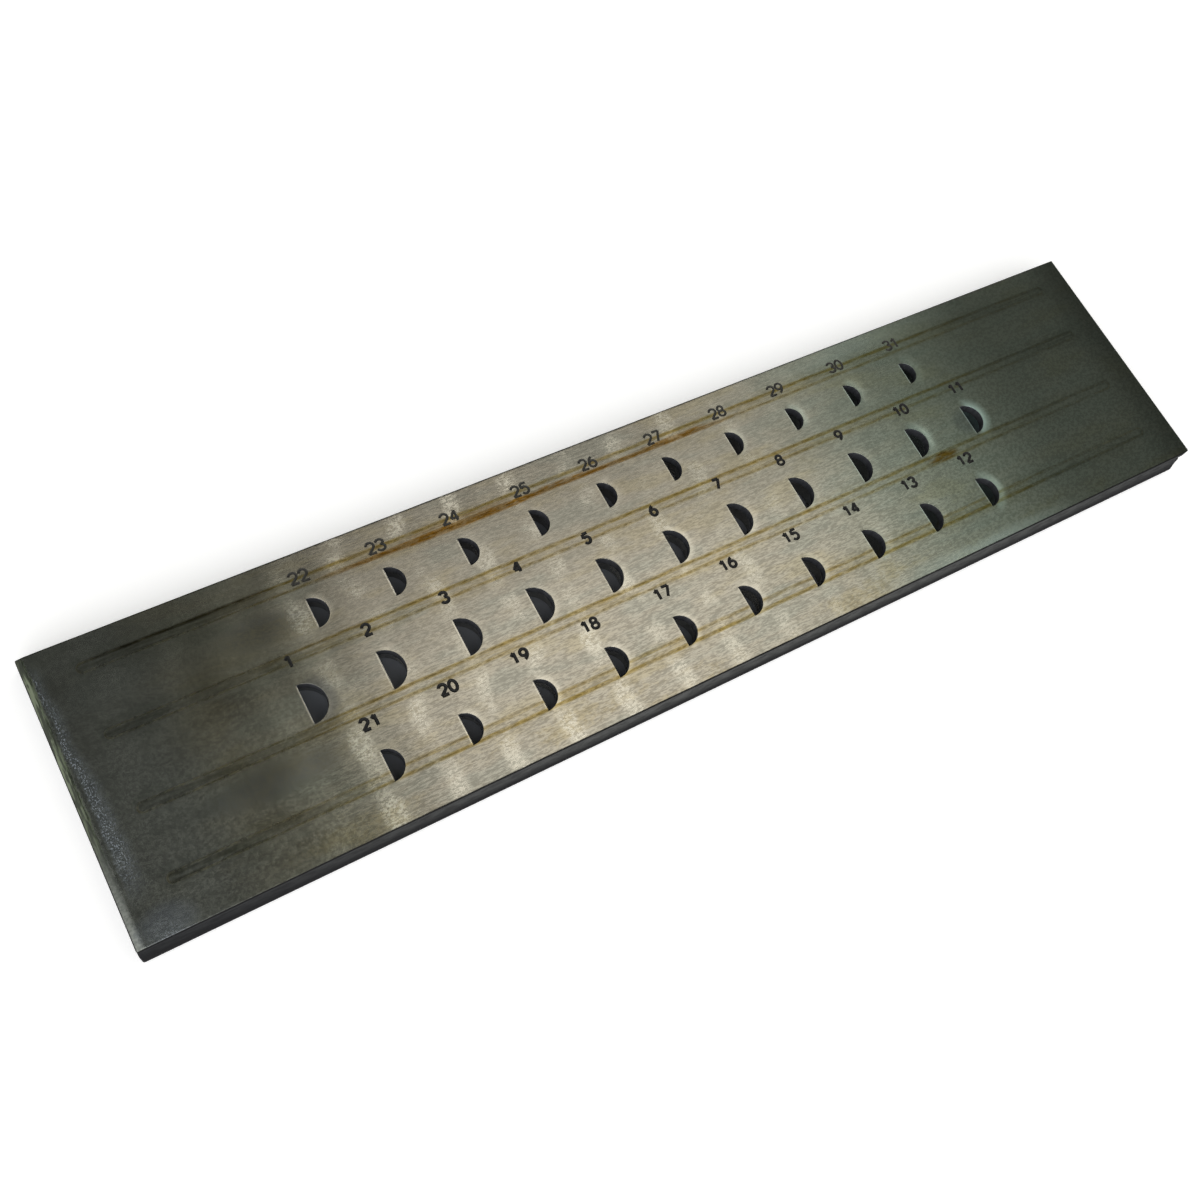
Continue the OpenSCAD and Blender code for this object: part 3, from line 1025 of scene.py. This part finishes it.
def rolled_bar():
    """A bar with a rolled flank on either side, and with its end edges and lower edges broken."""
    bm = bmesh.new()
    bulge = BACKING_HIGH.y - FACE_HIGH.y
    rise = JOINT - FLANK_HEIGHT
    radius = (rise**2 + bulge**2) / (2 * bulge)
    flank_centre = Vector((0, BACKING_HIGH.y - radius, FLANK_HEIGHT))
    turn = math.asin(rise / radius) + math.asin(FLANK_HEIGHT / radius)
    start = bm.verts.new((0, FACE_HIGH.y, JOINT))
    bmesh.ops.spin(bm, geom=[start], cent=flank_centre, axis=(1, 0, 0), angle=-turn, steps=FLANK_STEPS)
    bmesh.ops.mirror(bm, geom=list(bm.verts) + list(bm.edges), axis="Y", merge_dist=SAME_PLACE)
    ends = [v for v in bm.verts if len(v.link_edges) == 1]
    for level in (max, min):
        height = level(v.co.z for v in ends)
        bmesh.ops.contextual_create(bm, geom=[v for v in ends if abs(v.co.z - height) < ON_PLANE])
    section = bmesh.ops.contextual_create(bm, geom=list(bm.edges))["faces"]
    bmesh.ops.extrude_face_region(bm, geom=section, use_keep_orig=True)
    right_end = list(section[0].verts)
    for vert in bm.verts:
        vert.co.x = BACKING_LOW.x
    for vert in right_end:
        vert.co.x = BACKING_HIGH.x
    bmesh.ops.recalc_face_normals(bm, faces=bm.faces)
    low_edges = [e for e in bm.edges if all(v.co.z < ON_PLANE for v in e.verts)]
    at_joint = [e for e in bm.edges if all(v.co.z > JOINT - ON_PLANE for v in e.verts)]
    sharp = [e for e in bm.edges if e.calc_face_angle(0) > SHARP_TURN]
    end_edges = [e for e in sharp if e not in low_edges and e not in at_joint]
    bmesh.ops.bevel(
        bm, geom=low_edges + end_edges, offset=BACKING_BREAK, segments=BREAK_SEGMENTS, profile=0.5,
        affect="EDGES", material=-1,
    )
    return bm


def rolled_backing(materials, tools):
    """The softer backing plate: rolled flanks, a torn right end, grooves and flared entries."""
    mesh = to_mesh(rolled_bar(), materials)
    corners = corner_frame(BACKING_LOW, BACKING_HIGH, LEFT_CORNER, RIGHT_CORNER, materials, SURFACE_FACES)
    mesh = carve(mesh, corners, "INTERSECT")
    mesh = carve(mesh, to_mesh(torn_end(), materials, SURFACE_FACES))
    for slot in tools["slots"].values():
        mesh = carve(mesh, slot)
    mesh = carve(mesh, tools["dies"])
    return finish_piece("rolled_backing", mesh, "soft_backing_steel", "backing_plate")


def torn_end():
    """The space that is torn out of the right end, under the face plate's lip."""
    bm = bmesh.new()
    past = BACKING_HIGH.x + OVERCUT
    places = [(BACKING_HIGH.x - step, height) for step, height in TORN_END]
    places += [(past, TORN_END[-1][1]), (past, TORN_END[0][1])]
    across = BACKING_HIGH.y + OVERCUT
    section = bm.faces.new([bm.verts.new((x, -across, z)) for x, z in places])
    moved = extruded(bm, section)
    bmesh.ops.translate(bm, vec=(0, 2 * across, 0), verts=moved.verts)
    bmesh.ops.recalc_face_normals(bm, faces=bm.faces)
    return bm


# The photo's view: where the camera stands, what it looks at on the face, and its turn about that line
CAMERA_PLACE = Vector((-124.68, -78.85, 266.73))
CAMERA_AIM = Vector((-24.19, -5.13, 8.0))
CAMERA_ROLL = 27.26
CAMERA_LENS = 39.281
CAMERA_SENSOR = 36
CAMERA_NEAREST = 10


def look_along(obj, place, aim, roll=0.0):
    """Put a camera or lamp at a place and turn it towards another, both in millimetres."""
    level = (aim - place).to_track_quat("-Z", "Y").to_matrix()
    turned = level @ Matrix.Rotation(math.radians(roll), 3, "Z")
    obj.matrix_world = Matrix.Translation(place * MM) @ turned.to_4x4()


def photo_camera():
    lens = bpy.data.cameras.new("photo_camera")
    lens.lens = CAMERA_LENS
    lens.sensor_width = CAMERA_SENSOR
    lens.clip_start = CAMERA_NEAREST * MM
    camera = bpy.data.objects.new("photo_camera", lens)
    bpy.context.scene.collection.objects.link(camera)
    look_along(camera, CAMERA_PLACE, CAMERA_AIM, CAMERA_ROLL)
    bpy.context.scene.camera = camera


def softbox(name, place, aim, width, length, power, colour):
    light = bpy.data.lights.new(name, "AREA")
    light.shape = "RECTANGLE"
    light.size = width * MM
    light.size_y = length * MM
    light.energy = power
    light.color = colour
    lamp = bpy.data.objects.new(name, light)
    bpy.context.scene.collection.objects.link(lamp)
    look_along(lamp, Vector(place), Vector(aim))


# The floor, which glows a little where a ray from the camera or off the metal meets it beside the plate
FLOOR_REACH = 4000
FLOOR_DROP = 0.02
PAPER_WHITE = (0.9, 0.9, 0.9)
# Painted shade: a dark floor colour under the plate, seen through the holes
SHADE_UNDER_PLATE = (0.24, 0.255, 0.29)
UNDER_FADE = 2
FLOOR_GLOW = (0.44, 0.44, 0.44)
NO_GLOW = (0, 0, 0)
SEEN_BY = ("Is Camera Ray", "Is Glossy Ray", "Is Transmission Ray")


def paper_floor():
    """A white floor, which shows as white where it is lit and keeps the plate's shadow, and is painted
    dark under the plate as shade.
    """
    bm = bmesh.new()
    bmesh.ops.create_grid(bm, x_segments=1, y_segments=1, size=FLOOR_REACH * MM)
    bmesh.ops.translate(bm, vec=(0, 0, -FLOOR_DROP * MM), verts=bm.verts)
    mesh = bpy.data.meshes.new("floor")
    bm.to_mesh(mesh)
    bm.free()
    floor = bpy.data.objects.new("floor", mesh)
    bpy.context.scene.collection.objects.link(floor)
    finish = Finish("white_paper")
    rays = [finish.node("ShaderNodeLightPath", {}, {}, ray) for ray in SEEN_BY]
    seen = rays[0].higher(rays[1]).higher(rays[2])
    past_end = finish.ramp(abs(finish.x), BACKING_HIGH.x - UNDER_FADE, BACKING_HIGH.x)
    past_side = finish.ramp(abs(finish.y), BACKING_HIGH.y - UNDER_FADE, BACKING_HIGH.y)
    beside = past_end.higher(past_side)
    finish.surface(
        base_color=finish.mix(beside, SHADE_UNDER_PLATE, PAPER_WHITE),
        roughness=0.9,
        specular_ior_level=0.1,
        emission_color=finish.mix(seen * beside, NO_GLOW, FLOOR_GLOW),
        emission_strength=1.0,
    )
    mesh.materials.append(finish.material)


# The room: its colours, the heights between which wall turns to ceiling, and how much they rise in front
WALL_COLOUR = (0.8, 0.8, 0.8)
CEILING_COLOUR = (0.05, 0.053, 0.046)
WALL_TOP = (0.2, 0.5)
FRONT_TURN = (0.05, -0.35)
FRONT_RISE = 0.35


def room():
    """A pale room, highest in front, with a dim ceiling, so that the face is dark beside the softboxes."""
    world = bpy.data.worlds.new("room")
    bpy.context.scene.world = world
    world.use_nodes = True
    nodes = Nodes(world.node_tree)
    direction = nodes.node("ShaderNodeTexCoord", output="Generated")
    rise = nodes.node("ShaderNodeSeparateXYZ", {}, {0: direction}, "Z")
    across = nodes.node("ShaderNodeSeparateXYZ", {}, {0: direction}, "Y")
    in_front = nodes.ramp(across, *FRONT_TURN)
    colour = nodes.mix(nodes.ramp(rise - in_front * FRONT_RISE, *WALL_TOP), WALL_COLOUR, CEILING_COLOUR)
    nodes.feed(world.node_tree.nodes["Background"].inputs["Color"], colour)


# The softboxes over the face, from left to right: their two ends, middle across, power and colour
LAMP_HEIGHT = 908
LAMP_LENGTH = 570
FACE_LAMPS = (
    (58, 500, 118, 1.0, (1.0, 0.97, 0.9)),
    (500, 640, 160, 0.28, (1.0, 1.0, 0.92)),
    (640, 780, 175, 0.165, (0.92, 1.0, 0.92)),
)

# The softboxes that look at the plate's middle: their places, widths, lengths, powers and colours
ROOM_LAMPS = {
    "rim_softbox": ((2000, 700, 700), 1500, 560, 2.5, (1.0, 0.98, 0.94)),
    "front_softbox": ((-1300, -1300, 1500), 3700, 3700, 60, (1.0, 1.0, 1.0)),
}


def studio():
    """The floor, the room, the softboxes over the face and those that look at the plate from its sides."""
    paper_floor()
    room()
    for left, right, across, power, colour in FACE_LAMPS:
        middle = (left + right) / 2
        place = (middle, across, LAMP_HEIGHT)
        softbox("face_softbox", place, (middle, across, 0), right - left, LAMP_LENGTH, power, colour)
    for name, (place, width, length, power, colour) in ROOM_LAMPS.items():
        softbox(name, place, (0, 0, 0), width, length, power, colour)


def build():
    """The plate's pieces, all cut with the same tools."""
    steel = ground_steel()
    wall = die_wall()
    ink = figure_ink()
    edge = edge_scale()
    plate = [steel, wall, ink, edge]
    tools = {
        "slots": {node: to_mesh(slot_bar(y, BRAZE_GAP), plate, WALL_FACES) for node, y in STRIP_Y.items()},
        "dies": to_mesh(die_cutters(), plate),
        "figures": [to_mesh(layer, plate, INK_FACES) for layer in figure_cutters()],
    }
    numbered_face(plate, tools)
    tie_bars(plate, [braze(), wall, ink, edge], tools)
    rolled_backing([rolled_steel(), wall, ink, edge], tools)


photo_camera()
build()
studio()
bpy.context.scene.view_settings.view_transform = "Standard"
